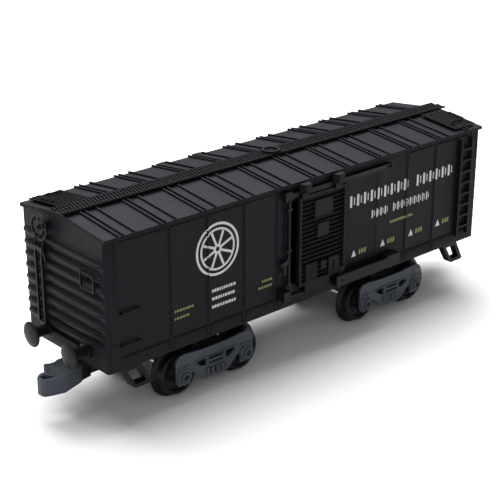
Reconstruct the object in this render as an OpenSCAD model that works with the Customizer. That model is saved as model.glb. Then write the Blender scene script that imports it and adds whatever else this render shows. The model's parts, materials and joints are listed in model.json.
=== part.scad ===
// Toy covered goods wagon: body, sliding doors, two bogies and two hook couplers.
// X runs along the wagon, Y across it, Z up. The origin is on the floor under the middle.
// The near side is -Y. What the far side repeats is turned half a turn about Z.

/* [Body] */
// Length of the body over the end walls
body_l = 240; // [236:0.5:244]
// Width of the body over the side walls
body_w = 58.7; // [58:0.1:59.4]
// Height from the underside of the sill to the top of the eave
body_h = 61.2; // [60:0.2:63]
// Height of the underside of the sill above the floor
sill_z = 28.7; // [28.2:0.1:30]
// Thickness of the moulded walls
wall_t = 2; // [1.6:0.1:2.4]
// Height of the smooth band along the bottom of each side
sill_h = 6.3; // [5.5:0.1:6.6]

/* [Roof] */
// How far the roof stands out past each end wall
roof_over_end = 0.3; // [0.2:0.1:0.8]
// How far the roof stands out past each side wall
roof_over_side = 1.65; // [1.2:0.05:1.8]
// Rise from the eave to the ridge
ridge_rise = 3.5; // [3:0.1:4]
// Height of the fascia at the eave
roof_t = 1.6; // [1.4:0.1:2]
// Width of one roof rib
rib_w = 0.8; // [0.6:0.1:1]
// Height of a roof rib above the roof sheet
rib_h = 0.95; // [0.8:0.05:1]
// Distance between two pairs of roof ribs
rib_pitch = 22; // [21.5:0.1:22.5]
// Width of the walkway along the ridge
board_w = 9.4; // [8:0.2:10]

/* [Doors] */
// Width of a sliding door
door_w = 30.8; // [29.5:0.1:31]
// Height of a sliding door
door_h = 44.6; // [43:0.2:44.8]
// Thickness of a sliding door's panel
door_t = 1.2; // [1:0.1:1.4]
// How far the far door stands open
far_door_open = 25.7; // [0:0.1:27]

/* [Running gear] */
// Distance between the two bogie pivots
bogie_spacing = 118; // [117:0.5:119]
// Distance between the two axles of a bogie
wheelbase = 37; // [36:0.5:37.5]
// Radius of a wheel's flange
flange_r = 12.5; // [12.3:0.1:12.7]
// Radius of a wheel's tread
tread_r = 10.3; // [10:0.1:10.6]
// Distance between the backs of the two wheels on an axle
back_to_back = 35.6; // [35:0.1:36]
// Width of a wheel over flange and tread
wheel_w = 5.7; // [5.4:0.1:5.8]
// Radius of an axle
axle_r = 1.5; // [1.3:0.1:1.7]
// Radial gap of a turning fit
running_gap = 0.06; // [0.03:0.01:0.09]

/* [Couplers] */
// Distance from the middle of the wagon to a coupler's pivot
coupler_pivot_x = 101; // [100:0.5:102]
// Height of a coupler's head
coupler_h = 8; // [7.5:0.1:8.2]

/* [Hidden] */
$fn = 48;

// Colours
body_colour = [0.14, 0.145, 0.16];
roof_colour = [0.26, 0.255, 0.27];
trim_colour = [0.1, 0.105, 0.115];
bogie_colour = [0.27, 0.29, 0.33];
wheel_colour = [0.07, 0.07, 0.075];
steel_colour = [0.7, 0.7, 0.72];

// Gaps: eps lets a cut run past a face, air is the room left between moving pieces
eps = 0.1;
air = 0.3;

// Body
half_l = body_l / 2;
half_w = body_w / 2;
eave_z = sill_z + body_h;
wall_top = eave_z - roof_t;
sheet_t = 1.7;
ridge_z = eave_z + ridge_rise;
roof_half_w = half_w + roof_over_side;
roof_half_l = half_l + roof_over_end;
corner_r = 0.8;
post_w = 6.3;
strip_t = 0.35;
seam_w = 1.7;
seam_t = 0.2;
seams_x = [-85.8, -64.8, -43.6, -23.8, 22.3, 43.9, 64.9, 86];
post_x = -17.5;
post_size = [3.4, 1.1, 42.9];
post_bottom = 39.3;
doorway_x = [-14, 16.6];
doorway_z = [40.4, 80.4];
screw_x = 114.6;
screw_y = 22.5;
boss_r = 3.6;
boss_h = 14;
screw_r = 1.1;

// Corrugations of the end walls: a row of ribs that taper off at both ends
corrugation_z = [39.9, 44.9, 50.5, 56.2, 61.8, 67.3, 72.8, 78.5];
corrugation_r = 2.45;
corrugation_out = 1.5;
corrugation_end = 0.8;
corrugation_l = 49;
corrugation_taper = 4.2;
ledge_size = [1.7, 20.4, 4.2];
ledge_z = 32;

// Roof ribs: pairs along the whole roof and a single rib between two pairs
first_pair_x = -112;
first_single_x = -105;
pair_gap = 2.6;
pair_count = 11;
single_count = 10;
board_top = ridge_z + 1.5;
board_seat = rib_h + 0.05;
ring_r = [2.9, 4.5];
ring_h = 1.1;
board_over = 1.5;
walkway_x = [100.8, 117];
walkway_y = [6, 28.6];
walkway_t = 0.8;
slope = ridge_rise / roof_half_w;

// Ladders and grab irons
ladder_x = [104.5, 113];
ladder_z = [33, 85.2];
ladder_out = 1.9;
ladder_rail = 1.2;
rung_count = 8;
rung_h = 1;
grab_x = [-112.6, -103.4];
grab_z = [40.3, 55.2];
grab_r = 0.55;
grab_out = 1.5;

// Brake gear on the left end
brake_y = 11.9;
brake_z = 84.6;
brake_wheel_r = 5.5;
brake_rim_r = 0.55;
brake_wheel_x = 3.2;
brake_shaft_r = 0.8;
brake_hub_r = 1.7;
brake_disc_r = 3.1;
spoke_r = 0.45;
spoke_count = 8;
brake_rods_y = [13.2, 17.8];
brake_lever_y = 11.6;

// Buffers
buffer_y = 14.4;
buffer_z = 35.1;
buffer_r = 5.9;
buffer_shank_r = 2.5;
buffer_shank_l = 8.2;
buffer_head_t = 2.2;
buffer_dome_r = 20;

// Steps: sheared stirrups under the sill
step_depth = 4;
step_drop = 11;
step_top_w = 11.3;
step_foot_w = 9.8;
step_lean = 6.9;
step_bar = 2;
step_left_x = -113.6;
step_right_x = 96;

// Doors
door_left = -11.4;
door_right = door_left + door_w;
door_z = 37.9;
door_in = half_w + seam_t + air;
door_out = door_in + door_t;
door_rim = 1.5;
door_rim_t = 0.3;
louvre_count = 19;
louvre_cut = 0.7;
louvre_t = 0.7;
door_front = door_out + louvre_t + door_rim_t;
hanger_x = [-8.8, 12.8];
hanger_w = [3.8, 5.8];
hanger_back = roof_half_w + 0.8;
hanger_front = 35.2;
hanger_z = [84.7, 89.2];
neck_t = 1.2;
neck_z = 81.6;
hook_z = [85.7, 87.8];
shoe_x = [-7.4, 9.1];
shoe_z = 33.6;
guide_x = [15.3, 18.7];
guide_z = 34.2;
guide_top = 41;
rail_x = [-20.6, 51.6];
rail_z = [82.9, 85.3];
rail_out = 1.6;
track_x = [11.6, 47.2, 56.2];
track_z = [32.3, 37.4, 38.3];
track_front = 34.5;
track_wall = 0.8;
track_hole = [15.4, 34.7, 0.5];
bar_z = [32.9, 34.5];
bar_t = 1;
bracket_x = [-23.2, -18.8];
bracket_z = [34.2, 39.2];

// Underframe
floor_z = 29;
floor_t = 2.2;
floor_gap = 0.2;
centre_sill = [64, 12, 3.4];
cross_sill = [3, 50, 1.6];
cross_sill_x = 24;
pivot_boss_r = 6.5;
pivot_z = 24.2;
kingpin_r = 2;
kingpin_head_r = 3.6;
kingpin_head_t = 1.9;
washer_r = 4.2;
washer_t = 0.8;
kingpin_top = 30.6;

// Bogies
pivot_x = bogie_spacing / 2;
axle_z = flange_r;
bolster_l = [17, 12];
bolster_step = 17;
bolster_z = [16.4, pivot_z - air];
frame_half_w = 24.3;
side_t = 2.9;
journal_t = 4.9;
journal_r = 3.9;
journal_mouth_r = 2.3;
journal_hole_r = 1.5;
journal_hole_d = 1.6;
slot_w = 8.6;
slot_h = 1.3;
slot_z = [16.2, 13.9];
spring_r = 1;
spring_pitch = 2.9;
spring_z = [8.5, 12.2];
axle_half_l = 26.4;
axle_pocket = 26.7;
tongue_w = 10;
tongue_z = [20.9, 23.2];
window_rim = 0.6;

// Wheels
flange_t = 1.5;
hub_r = 3.2;
dish_r = 8.4;
dish_d = 1.5;
hub_out = 0.5;

// Couplers
coupler_z = 15.1;
head_shift = 1.2;
eye_z = [16.4, tongue_z[0] - air];
eye_r = 4.2;
pin_r = 1.5;
pin_head_r = 2.8;
pin_head_t = 1;
pocket_d = 4;
jaw_r = 5.6;

// Both halves of what the wagon has twice, half a turn apart
module turned() {
    rotate([0, 0, 180])
        children();
}

module both_ends() {
    children();
    turned()
        children();
}

// A box given by its lowest and highest corners
module block(low, high) {
    translate(low)
        cube(high - low);
}

// Outline in X and Z, given depth in Y, starting at y
module upright(y, depth) {
    translate([0, y + depth, 0])
        rotate([90, 0, 0])
            linear_extrude(depth)
                children();
}

// Outline in Y and Z, extruded along X from x
module along(x, length) {
    translate([x, 0, 0])
        rotate([90, 0, 90])
            linear_extrude(length)
                children();
}

// ---------- body ----------

module rounded_plan() {
    square([body_l - 2 * corner_r, body_w], center = true);
    square([body_l, body_w - 2 * corner_r], center = true);
    for (x = [-1, 1], y = [-1, 1])
        translate([x * (half_l - corner_r), y * (half_w - corner_r)])
            circle(corner_r);
}

module gable_outline() {
    polygon([
        [-half_w, sill_z], [half_w, sill_z], [half_w, wall_top],
        [0, ridge_z - sheet_t], [-half_w, wall_top]
    ]);
}

module corrugation(z) {
    x = -half_l - corrugation_out + corrugation_r;
    translate([x, -corrugation_l / 2, z])
        rotate([-90, 0, 0])
            cylinder(h = corrugation_l, r = corrugation_r);
    for (s = [-1, 1])
        translate([x, s * corrugation_l / 2, z])
            rotate([-90 * s, 0, 0])
                cylinder(h = corrugation_taper, r1 = corrugation_r, r2 = corrugation_r - corrugation_end);
}

// Raised bands, posts and seams of one side, here on -Y
module side_relief() {
    block([-half_l + corner_r, -half_w - strip_t, sill_z],
          [half_l - corner_r, -half_w + eps, sill_z + sill_h]);
    for (x = [-half_l + corner_r, half_l - post_w])
        block([x, -half_w - strip_t, sill_z], [x + post_w - corner_r, -half_w + eps, wall_top]);
    for (x = seams_x)
        block([x - seam_w / 2, -half_w - seam_t, sill_z + sill_h],
              [x + seam_w / 2, -half_w + eps, wall_top]);
    translate([post_x - post_size[0] / 2, -half_w - post_size[1], post_bottom])
        cube([post_size[0], post_size[1] + eps, post_size[2]]);
}

module doorway() {
    block([doorway_x[0], -half_w - 2, doorway_z[0]],
          [doorway_x[1], -half_w + wall_t + eps, doorway_z[1]]);
}

module body_shell() {
    color(body_colour)
        difference() {
            union() {
                difference() {
                    union() {
                        intersection() {
                            linear_extrude(ridge_z)
                                rounded_plan();
                            along(-half_l, body_l)
                                gable_outline();
                        }
                        both_ends() {
                            side_relief();
                            for (z = corrugation_z)
                                corrugation(z);
                            translate([-half_l - ledge_size[0], -ledge_size[1] / 2, ledge_z])
                                cube([ledge_size[0] + eps, ledge_size[1], ledge_size[2]]);
                        }
                    }
                    block([-half_l + wall_t, -half_w + wall_t, sill_z - eps],
                          [half_l - wall_t, half_w - wall_t, ridge_z]);
                    both_ends()
                        doorway();
                }
                for (x = [-1, 1], y = [-1, 1])
                    translate([x * screw_x, y * screw_y, floor_z + floor_t])
                        cylinder(h = boss_h, r = boss_r);
            }
            for (x = [-1, 1], y = [-1, 1])
                translate([x * screw_x, y * screw_y, floor_z + floor_t - eps])
                    cylinder(h = boss_h - 2, r = screw_r);
        }
}

// ---------- roof ----------

// Cross-section of the roof sheet, raised by up and widened by out
module roof_outline(up, out) {
    polygon([
        [-roof_half_w - out, wall_top], [-roof_half_w - out, eave_z + up], [0, ridge_z + up],
        [roof_half_w + out, eave_z + up], [roof_half_w + out, wall_top], [half_w, wall_top],
        [0, ridge_z - sheet_t], [-half_w, wall_top]
    ]);
}

module roof() {
    color(roof_colour)
        union() {
            along(-roof_half_l, 2 * roof_half_l)
                roof_outline(0, 0);
            for (i = [0 : pair_count - 1], s = [-1, 1])
                along(first_pair_x + i * rib_pitch + s * pair_gap / 2 - rib_w / 2, rib_w)
                    roof_outline(rib_h, 0.15);
            for (i = [0 : single_count - 1])
                along(first_single_x + i * rib_pitch - rib_w / 2, rib_w)
                    roof_outline(rib_h, 0.15);
        }
}

module running_board() {
    color(trim_colour)
        along(-roof_half_l - board_over, 2 * (roof_half_l + board_over))
            polygon([
                [-board_w / 2, ridge_z + board_seat - slope * board_w / 2],
                [0, ridge_z + board_seat], [board_w / 2, ridge_z + board_seat - slope * board_w / 2],
                [board_w / 2, board_top], [-board_w / 2, board_top]
            ]);
}

// Side walkway on the slope, here on -Y at the right end
module walkway() {
    lift = ridge_z + board_seat;
    color(trim_colour)
        along(walkway_x[0], walkway_x[1] - walkway_x[0])
            polygon([
                [-walkway_y[0], lift - slope * walkway_y[0]],
                [-walkway_y[1], lift - slope * walkway_y[1]],
                [-walkway_y[1], lift + walkway_t - slope * walkway_y[1]],
                [-walkway_y[0], lift + walkway_t - slope * walkway_y[0]]
            ]);
}

module walkway_near() {
    walkway();
}

module walkway_far() {
    turned()
        walkway();
}

module roof_ring() {
    color(trim_colour)
        translate([0, 0, board_top])
            difference() {
                cylinder(h = ring_h, r = ring_r[1]);
                translate([0, 0, -eps])
                    cylinder(h = ring_h + 2 * eps, r = ring_r[0]);
            }
}

// ---------- fittings of the body ----------

module ladder() {
    y = -half_w - strip_t - ladder_out;
    rise = (ladder_z[1] - ladder_z[0] - rung_h) / (rung_count + 0.5);
    color(body_colour)
        union() {
            for (x = ladder_x)
                block([x - ladder_rail / 2, y, ladder_z[0]],
                      [x + ladder_rail / 2, -half_w - strip_t, ladder_z[1]]);
            for (i = [0 : rung_count - 1])
                block([ladder_x[0], y, ladder_z[0] + (i + 0.7) * rise],
                      [ladder_x[1], y + 1.1, ladder_z[0] + (i + 0.7) * rise + rung_h]);
        }
}

module ladder_near() {
    ladder();
}

module ladder_far() {
    turned()
        ladder();
}

module grab_iron(z) {
    y = -half_w - grab_out;
    translate([grab_x[0], y, z])
        rotate([0, 90, 0])
            cylinder(h = grab_x[1] - grab_x[0], r = grab_r);
    for (x = grab_x)
        translate([x, y, z])
            rotate([-90, 0, 0])
                cylinder(h = grab_out, r = grab_r);
    for (x = grab_x)
        translate([x, y, z])
            sphere(grab_r);
}

module grab_irons() {
    color(trim_colour)
        both_ends()
            for (z = grab_z)
                grab_iron(z);
}

// Small open frame on the left end wall
module placard_frame() {
    x = -half_l - corrugation_out;
    color(trim_colour)
        difference() {
            block([x - 0.8, -24.6, 65.2], [x, -15, 73]);
            block([x - 0.8 - eps, -24, 65.8], [x + eps, -15.6, 72.4]);
        }
}

module brake_rigging() {
    x = -half_l - corrugation_out;
    color(trim_colour)
        union() {
            block([x - 1.6, brake_lever_y - 0.4, 73.2], [x, brake_rods_y[1] + 2.4, 75]);
            block([-half_l - 2, brake_y - 1.3, brake_z - 1.7], [-half_l, brake_y + 1.3, brake_z + 1.7]);
            block([x - 0.8, brake_y - 0.35, 74.9], [x + eps, brake_y + 0.35, brake_z - 1.6]);
            block([x - 0.8, brake_rods_y[1] - 0.3, 74.9], [x + eps, brake_rods_y[1] + 0.3, 81.6]);
            block([x - 0.8, brake_rods_y[1] - 0.3, 80.6], [-half_l, brake_rods_y[1] + 0.3, 81.6]);
            for (y = brake_rods_y)
                block([x - 1.1, y - 0.5, 38.3], [x, y + 0.5, 73.3]);
            block([x - 1.1, brake_rods_y[0], 38.2], [x, brake_rods_y[1], 39.2]);
            translate([x - 0.8, brake_lever_y, 73.9])
                rotate([155, 0, 0])
                    translate([-0.5, -0.5, 0])
                        cube([1, 1, 5]);
            translate([-half_l - brake_wheel_x - 1.6, brake_y, brake_z])
                rotate([0, 90, 0])
                    cylinder(h = brake_wheel_x + 1.6, r = brake_shaft_r);
        }
}

module brake_wheel() {
    color(trim_colour)
        translate([-half_l - brake_wheel_x, brake_y, brake_z])
            rotate([0, 90, 0])
                difference() {
                    union() {
                        rotate_extrude()
                            translate([brake_wheel_r, 0])
                                circle(brake_rim_r, $fn = 24);
                        translate([0, 0, -0.8])
                            cylinder(h = 1.6, r = brake_hub_r);
                        translate([0, 0, -0.3])
                            cylinder(h = 0.7, r = brake_disc_r);
                        for (i = [0 : spoke_count - 1])
                            rotate([0, 90, i * 360 / spoke_count])
                                cylinder(h = brake_wheel_r, r = spoke_r, $fn = 24);
                    }
                    translate([0, 0, -2])
                        cylinder(h = 4, r = brake_shaft_r + running_gap);
                }
}

// Buffer on the left end, on the side that s gives
module buffer(s) {
    color(trim_colour)
        translate([-half_l, s * buffer_y, buffer_z])
            rotate([0, -90, 0])
                union() {
                    cylinder(h = buffer_shank_l, r = buffer_shank_r);
                    intersection() {
                        translate([0, 0, buffer_shank_l])
                            cylinder(h = buffer_head_t, r = buffer_r);
                        translate([0, 0, buffer_shank_l + buffer_head_t - buffer_dome_r])
                            sphere(buffer_dome_r);
                    }
                }
}

module buffer_left_near() {
    buffer(-1);
}

module buffer_left_far() {
    buffer(1);
}

module buffer_right_near() {
    turned()
        buffer(1);
}

module buffer_right_far() {
    turned()
        buffer(-1);
}

// Stirrup step under the near sill, its top corner at x
module stirrup(x) {
    top_in = step_bar * 1.15;
    lean_at = step_lean * (step_drop - step_bar) / step_drop;
    color(trim_colour)
        upright(-half_w, step_depth)
            difference() {
                polygon([
                    [x, sill_z], [x + step_top_w, sill_z],
                    [x + step_top_w + step_lean - 1.5, sill_z - step_drop + 0.6],
                    [x + step_lean + step_foot_w - 1.2, sill_z - step_drop],
                    [x + step_lean + 1, sill_z - step_drop],
                    [x + step_lean - 0.6, sill_z - step_drop + 1]
                ]);
                polygon([
                    [x + top_in + 1, sill_z - 1.6], [x + step_top_w - top_in + 0.8, sill_z - 1.6],
                    [x + lean_at + step_foot_w - step_bar, sill_z - step_drop + step_bar],
                    [x + lean_at + step_bar, sill_z - step_drop + step_bar]
                ]);
            }
}

module step_left_near() {
    stirrup(step_left_x);
}

module step_right_near() {
    stirrup(step_right_x);
}

module step_right_far() {
    turned()
        stirrup(step_left_x);
}

// ---------- doors ----------

// One slanted slat of the door, its upper edge at z
module louvre(z, pitch) {
    along(door_left + door_rim - eps, door_w - 2 * door_rim + 2 * eps)
        polygon([
            [-door_out + louvre_cut + eps, z], [-door_out - louvre_t, z - pitch * 0.1],
            [-door_out - louvre_t, z - pitch * 0.28], [-door_out + louvre_cut + eps, z - pitch * 0.28]
        ]);
}

// Flat plate on the door's face between two corners in X and Z
module door_plate(low, high) {
    block([low[0], -door_out - louvre_t - 0.15, low[1]],
          [high[0], -door_out + louvre_cut + eps, high[1]]);
}

// Hanger that stands out past the eave, with its hook over the rail
module hanger(x) {
    top = door_z + door_h;
    translate([x, 0, hanger_z[0]])
        linear_extrude(hanger_z[1] - hanger_z[0])
            polygon([
                [-hanger_w[1] / 2, -hanger_back], [-hanger_w[0] / 2, -hanger_front],
                [hanger_w[0] / 2, -hanger_front], [hanger_w[1] / 2, -hanger_back]
            ]);
    block([x - hanger_w[0] / 2, -hanger_back - neck_t, neck_z],
          [x + hanger_w[0] / 2, -hanger_back, hanger_z[0] + eps]);
    block([x - hanger_w[0] / 2, -hanger_back - neck_t, neck_z],
          [x + hanger_w[0] / 2, -door_out + eps, top]);
    block([x - hanger_w[0] / 2, -hanger_back - eps, hook_z[0]],
          [x + hanger_w[0] / 2, -half_w - air, hook_z[1]]);
}

module door() {
    pitch = (door_h - 2 * door_rim) / louvre_count;
    top = door_z + door_h - door_rim;
    color(body_colour)
        difference() {
            union() {
                difference() {
                    block([door_left, -door_front, door_z], [door_right, -door_in, door_z + door_h]);
                    block([door_left + door_rim, -door_front - eps, door_z + door_rim],
                          [door_right - door_rim, -door_out + louvre_cut, top]);
                }
                for (i = [0 : louvre_count - 1])
                    louvre(top - i * pitch, pitch);
                door_plate([-1.5, 70.2], [10.3, 78.6]);
                door_plate([0.4, 59.7], [8, 66.7]);
                door_plate([-6.9, door_z + 0.2], [0.8, 47.9]);
                door_plate([8.2, door_z + 0.2], [15.7, 47.7]);
                door_plate([3.2, 42.7], [6.8, 47.4]);
                for (x = hanger_x)
                    hanger(x);
                block([shoe_x[0], -door_front, shoe_z], [shoe_x[1], -door_out, door_z + eps]);
                block([guide_x[0], -door_front - 0.5, guide_z], [guide_x[1], -door_out, guide_top]);
            }
            block([11, -door_out - 3, 40.6], [12, -door_out, 45.8]);
        }
}

module door_near() {
    door();
}

module door_far() {
    turned()
        translate([far_door_open, 0, 0])
            door();
}

module rail() {
    front = half_w + seam_t + air + rail_out;
    color(trim_colour)
        difference() {
            union() {
                block([rail_x[0], -front, rail_z[0]], [rail_x[1], -half_w - seam_t, rail_z[1]]);
                block([rail_x[0], -front - 0.8, rail_z[0] - 0.5],
                      [rail_x[0] + 4.4, -half_w - seam_t, rail_z[1] + 1.4]);
            }
            upright(-front - eps, 1 + eps)
                polygon([
                    [rail_x[1] - 4.6, 84.3], [rail_x[1] - 0.8, 85], [rail_x[1] - 0.8, 83.3]
                ]);
        }
}

module rail_near() {
    rail();
}

module rail_far() {
    turned()
        rail();
}

// Channel that the door's foot runs in, the bar along the sill and the bracket at its left end
module track() {
    y = -half_w - strip_t;
    color(trim_colour)
        difference() {
            union() {
                block([track_x[0], -track_front, track_z[0]],
                      [track_x[2], -track_front + track_wall, track_z[1]]);
                block([track_x[0], -track_front, track_z[0]], [track_x[2], y, track_z[0] + track_wall]);
                block([track_x[1], -track_front, track_z[0]], [track_x[2], y, track_z[2]]);
                block([bracket_x[0], y - bar_t, bar_z[0]], [track_x[1] + eps, y, bar_z[1]]);
                block([bracket_x[0], -track_front, bracket_z[0]], [bracket_x[1], y, bracket_z[1]]);
            }
            translate([track_hole[0], 0, track_hole[1]])
                rotate([90, 0, 0])
                    cylinder(h = 2 * half_w, r = track_hole[2], $fn = 24);
        }
}

module track_near() {
    track();
}

module track_far() {
    turned()
        track();
}

// Lock bar on the post beside the door, with its lever and the hasp below it
module latch() {
    y = -half_w - post_size[1];
    color(trim_colour)
        union() {
            translate([post_x, y - 0.9, 39.6])
                cylinder(h = 42.6, r = 0.7, $fn = 12);
            for (z = [40.4, 57.4, 77.4])
                block([post_x - 1.5, y - 1.4, z], [post_x + 1.5, y, z + 1.2]);
            upright(y - 1.3, 0.9)
                polygon([
                    [post_x, 55.9], [post_x - 1.7, 53.4], [post_x - 5.4, 52.4],
                    [post_x - 5.4, 51.4], [post_x, 50.9]
                ]);
            block([post_x - 3.4, y - 1.1, 46.4], [post_x - 1.7, y - 0.5, 51.4]);
        }
}

module latch_near() {
    latch();
}

module latch_far() {
    turned()
        latch();
}

// ---------- underframe ----------

module underframe() {
    color(trim_colour)
        difference() {
            union() {
                block([-half_l + wall_t + floor_gap, -half_w + wall_t + floor_gap, floor_z],
                      [half_l - wall_t - floor_gap, half_w - wall_t - floor_gap, floor_z + floor_t]);
                for (s = [-1, 1])
                    translate([s * pivot_x, 0, pivot_z])
                        cylinder(h = floor_z - pivot_z + eps, r = pivot_boss_r);
                block([-centre_sill[0] / 2, -centre_sill[1] / 2, floor_z - centre_sill[2]],
                      [centre_sill[0] / 2, centre_sill[1] / 2, floor_z + eps]);
                for (s = [-1, 1])
                    block([s * cross_sill_x - cross_sill[0] / 2, -cross_sill[1] / 2, floor_z - cross_sill[2]],
                          [s * cross_sill_x + cross_sill[0] / 2, cross_sill[1] / 2, floor_z + eps]);
            }
            for (s = [-1, 1])
                translate([s * pivot_x, 0, pivot_z - eps])
                    cylinder(h = kingpin_top - pivot_z + eps, r = kingpin_r);
            for (x = [-1, 1], y = [-1, 1])
                translate([x * screw_x, y * screw_y, floor_z - eps])
                    cylinder(h = floor_t + 2 * eps, r = screw_r);
        }
}

// A cross-headed screw that points up, its head's seat at z = 0
module screw(head_r, head_t, r, length) {
    difference() {
        union() {
            translate([0, 0, -head_t])
                cylinder(h = head_t, r = head_r);
            cylinder(h = length, r = r);
        }
        for (a = [0, 90])
            rotate([0, 0, a])
                translate([-head_r * 0.6, -head_r * 0.13, -head_t - eps])
                    cube([head_r * 1.2, head_r * 0.26, head_t * 0.6]);
    }
}

module body_screws() {
    color(steel_colour)
        for (x = [-1, 1], y = [-1, 1])
            translate([x * screw_x, y * screw_y, floor_z])
                screw(2.3, 1.2, screw_r, 11);
}

module kingpin() {
    color(steel_colour)
        translate([-pivot_x, 0, bolster_z[0] - air - washer_t])
            screw(kingpin_head_r, kingpin_head_t, kingpin_r, kingpin_top - bolster_z[0] + air + washer_t);
}

module kingpin_left() {
    kingpin();
}

module kingpin_right() {
    turned()
        kingpin();
}

module kingpin_washer() {
    color(steel_colour)
        translate([-pivot_x, 0, bolster_z[0] - air - washer_t])
            difference() {
                cylinder(h = washer_t, r = washer_r);
                translate([0, 0, -eps])
                    cylinder(h = washer_t + 2 * eps, r = kingpin_r);
            }
}

module kingpin_washer_left() {
    kingpin_washer();
}

module kingpin_washer_right() {
    turned()
        kingpin_washer();
}

// ---------- bogies: drawn at the left end, outer is towards the end of the wagon ----------

module bogie_frame() {
    color(trim_colour)
        difference() {
            union() {
                block([-pivot_x - bolster_l[0] / 2, -bolster_step, bolster_z[0]],
                      [-pivot_x + bolster_l[0] / 2, bolster_step, bolster_z[1] - 0.6]);
                block([-pivot_x - bolster_l[1] / 2, -frame_half_w, bolster_z[0]],
                      [-pivot_x + bolster_l[1] / 2, frame_half_w, bolster_z[1] - 0.6]);
                translate([-pivot_x, 0, bolster_z[0]])
                    cylinder(h = bolster_z[1] - bolster_z[0], r = pivot_boss_r);
                block([-coupler_pivot_x, -tongue_w / 2, tongue_z[0]],
                      [-pivot_x, tongue_w / 2, tongue_z[1]]);
                translate([-coupler_pivot_x, 0, tongue_z[0]])
                    cylinder(h = tongue_z[1] - tongue_z[0], r = tongue_w / 2);
            }
            translate([-pivot_x, 0, 0])
                cylinder(h = sill_z, r = kingpin_r + running_gap);
            translate([-coupler_pivot_x, 0, 0])
                cylinder(h = sill_z, r = pin_r);
        }
}

module bogie_frame_left() {
    bogie_frame();
}

module bogie_frame_right() {
    turned()
        bogie_frame();
}

// Outline of a side frame about the bogie's middle, in X and Z
module side_outline() {
    r = 4;
    for (s = [-1, 1])
        scale([s, 1])
            union() {
                polygon([
                    [-eps, 22.3], [8, 22.4], [17, 23.2], [18.8, 23.2], [18.8, 19.2], [22.8, 19.2],
                    [22.8, 10.2], [21.2, 8], [15.2, 8], [14.8, 13], [13.3, 13],
                    [7.4, 7.6], [6.2, 7.2], [-eps, 7.2]
                ]);
                translate([22.8 - r, 23.2 - r])
                    circle(r);
            }
}

// The two tapered windows, the two slots and the spring opening
module side_windows(grow) {
    offset_w = grow;
    for (s = [-1, 1])
        scale([s, 1])
            polygon([
                [5.7 - offset_w, 14.1 - offset_w], [7.9, 14.1 - offset_w],
                [11.5 + offset_w, 16.4 - offset_w], [11.5 + offset_w, 17 + offset_w],
                [10.5, 17.7 + offset_w], [5.7 - offset_w, 17.7 + offset_w]
            ]);
    for (z = slot_z)
        translate([-slot_w / 2 - offset_w, z - offset_w])
            square([slot_w + 2 * offset_w, slot_h + 2 * offset_w]);
}

// Axle box: chamfered block, round mouth and the lid above it
module axle_box() {
    upright(-frame_half_w - journal_t + 1, 2)
        translate([0, axle_z])
            polygon([
                [-2.9, -2.2], [-1.7, -3.5], [1.7, -3.5], [2.9, -2.2],
                [2.9, 2.2], [1.7, 3.3], [-1.7, 3.3], [-2.9, 2.2]
            ]);
    upright(-frame_half_w - journal_t, 2)
        translate([0, axle_z])
            circle(journal_mouth_r);
    upright(-frame_half_w - journal_t + 1.5, 1)
        translate([-3.3, axle_z + 3.9])
            square([6.6, 0.9]);
}

// Side frame on -Y of the left bogie
module side_frame() {
    y = -frame_half_w - side_t;
    color(bogie_colour)
        translate([-pivot_x, 0, 0])
            difference() {
                union() {
                    upright(y, side_t)
                        side_outline();
                    upright(y - 0.5, 1)
                        difference() {
                            side_windows(window_rim);
                            side_windows(0);
                        }
                    for (s = [-1, 1])
                        translate([s * wheelbase / 2, 0, axle_z])
                            rotate([90, 0, 0])
                                cylinder(h = frame_half_w + journal_t - 1.2, r = journal_r);
                    for (s = [-1, 1])
                        translate([s * wheelbase / 2, 0])
                            axle_box();
                    for (i = [-1.5 : 1.5])
                        translate([i * spring_pitch, y + 0.3, spring_z[0] - eps])
                            cylinder(h = spring_z[1] - spring_z[0] + 2 * eps, r = spring_r, $fn = 24);
                }
                upright(y - 1, side_t + 1.1 - 1)
                    side_windows(0);
                upright(y - 1.2, 2.4)
                    difference() {
                        translate([-2 * spring_pitch, spring_z[0]])
                            square([4 * spring_pitch, spring_z[1] - spring_z[0]]);
                        for (i = [-1.5 : 1.5])
                            translate([i * spring_pitch - spring_r, spring_z[0] - 1])
                                square([2 * spring_r, spring_z[1] - spring_z[0] + 2]);
                    }
                for (s = [-1, 1])
                    translate([s * wheelbase / 2, 0, axle_z])
                        rotate([90, 0, 0])
                            cylinder(h = axle_pocket, r = axle_r + running_gap);
                translate([-wheelbase, -frame_half_w, 0])
                    cube([2 * wheelbase, frame_half_w, sill_z]);
                for (s = [-1, 1])
                    upright(-frame_half_w - journal_t - eps, journal_hole_d + eps)
                        translate([s * wheelbase / 2, axle_z])
                            circle(journal_hole_r, $fn = 12);
            }
}

module side_frame_left_near() {
    side_frame();
}

module side_frame_left_far() {
    mirror([0, 1, 0])
        side_frame();
}

module side_frame_right_near() {
    turned()
        mirror([0, 1, 0])
            side_frame();
}

module side_frame_right_far() {
    turned()
        side_frame();
}

// Axle at x
module axle(x) {
    color(steel_colour)
        translate([x, axle_half_l, axle_z])
            rotate([90, 0, 0])
                cylinder(h = 2 * axle_half_l, r = axle_r);
}

module axle_left_outer() {
    axle(-pivot_x - wheelbase / 2);
}

module axle_left_inner() {
    axle(-pivot_x + wheelbase / 2);
}

module axle_right_outer() {
    axle(pivot_x + wheelbase / 2);
}

module axle_right_inner() {
    axle(pivot_x - wheelbase / 2);
}

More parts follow.
